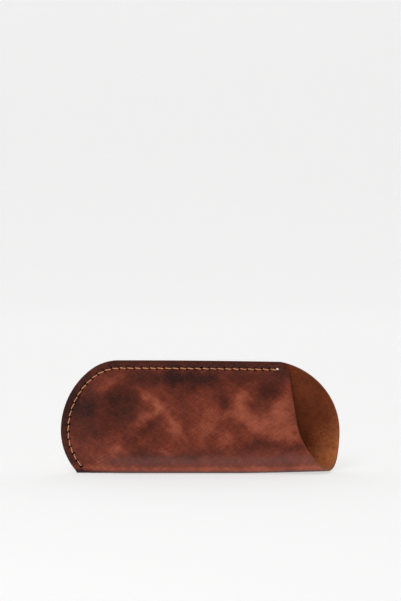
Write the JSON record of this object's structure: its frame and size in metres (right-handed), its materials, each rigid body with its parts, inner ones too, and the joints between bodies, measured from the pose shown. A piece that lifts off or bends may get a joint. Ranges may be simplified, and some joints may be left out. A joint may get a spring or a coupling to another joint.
{
  "type": "leather glasses sleeve",
  "caption": "Slim stitched leather sleeve for folded glasses, open at one end, with a rounded tongue behind the mouth.",
  "frame": {"origin": "under the middle of the sleeve, on the surface that it stands on", "axes": "+X along the sleeve towards its mouth, -Y out of the front panel, +Z from the fold up to the stitched top edge"},
  "size_m": [0.182, 0.0216, 0.0737],
  "materials": {
    "leather": "waxed pull-up grain outside, napped flesh side inside, semi-matte",
    "contact_cement": "dried rubber film, satin",
    "waxed_thread": "waxed round thread, satin"
  },
  "bodies": {
    "sleeve": {"leather_body": "leather", "seam_cement": "contact_cement", "thread_first_needle": "waxed_thread", "thread_second_needle": "waxed_thread"},
    "tongue": {"mouth_tongue": "leather"}
  },
  "joints": [
    {"name": "tongue_flex", "type": "hinge", "parent": "sleeve", "child": "tongue", "pos_m": [0.061, 0.00108, 0.07001], "axis": [-0.4494, -0.1379, 0.8826], "range_deg": [-30, 40], "stiffness_Nm_per_rad": 0.08}
  ]
}
